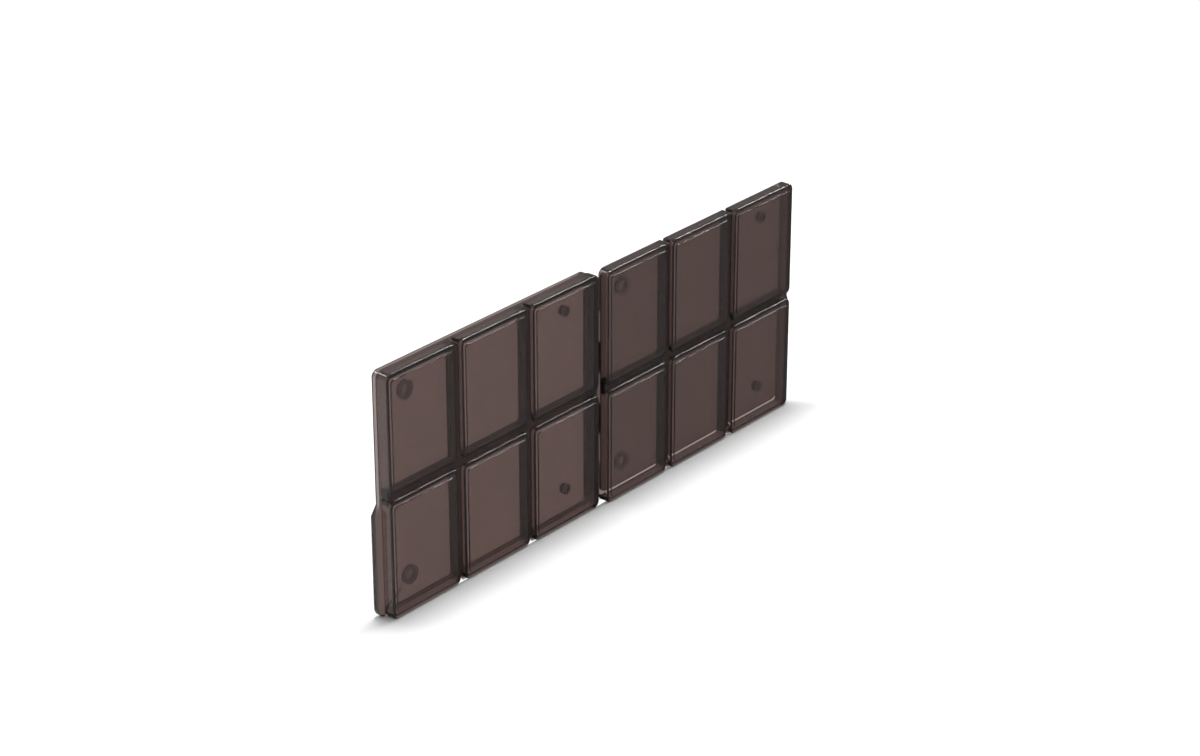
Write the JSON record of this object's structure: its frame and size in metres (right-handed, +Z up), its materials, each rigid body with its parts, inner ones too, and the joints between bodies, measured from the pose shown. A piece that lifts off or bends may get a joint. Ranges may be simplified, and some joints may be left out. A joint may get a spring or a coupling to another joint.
{
  "type": "memory card case",
  "caption": "Thin folding case of smoky clear plastic with a grid of card wells in hinged trays, an inner leaf with a thumb tab, a lift-off cover and snap studs.",
  "frame": {"origin": "on the ground under the middle of the opened case's bounding box, thumb tab included", "axes": "+X along the opened case from the leaf's half to the other half, +Y from the tile faces to the back, +Z up"},
  "size_m": [0.1816, 0.0074, 0.0748],
  "materials": {
    "tray_plastic": "smoky clear, moulded gloss",
    "leaf_plastic": "smoky clear, moulded gloss",
    "cover_plastic": "smoky clear, a shade darker, moulded gloss",
    "pin_plastic": "dark drawn rod",
    "snap_plastic": "smoky clear, moulded gloss"
  },
  "bodies": {
    "left_half": {"left_tray": "tray_plastic", "hinge_pin": "pin_plastic"},
    "right_half": {"right_tray": "tray_plastic"},
    "leaf": {"inner_leaf": "leaf_plastic", "leaf_snap_cup_lower": "snap_plastic", "leaf_snap_cup_upper": "snap_plastic", "leaf_snap_stud_lower": "snap_plastic", "leaf_snap_stud_upper": "snap_plastic"},
    "cover": {"right_cover": "cover_plastic", "cover_snap_cup_lower": "snap_plastic", "cover_snap_cup_upper": "snap_plastic", "cover_snap_stud_lower": "snap_plastic", "cover_snap_stud_upper": "snap_plastic"}
  },
  "joints": [
    {"name": "fold", "type": "hinge", "parent": "left_half", "child": "right_half", "pos_m": [0.00105, 0.00224, 0.0374], "axis": [0, 0, 1], "range_deg": [0, 180]},
    {"name": "leaf_turn", "type": "hinge", "parent": "left_half", "child": "leaf", "pos_m": [0.00105, 0.00224, 0.0374], "axis": [0, 0, 1], "range_deg": [-180, 0]},
    {"name": "cover_lift", "type": "slide", "parent": "right_half", "child": "cover", "axis": [0, -1, 0], "range_m": [-0.045, 0]}
  ]
}
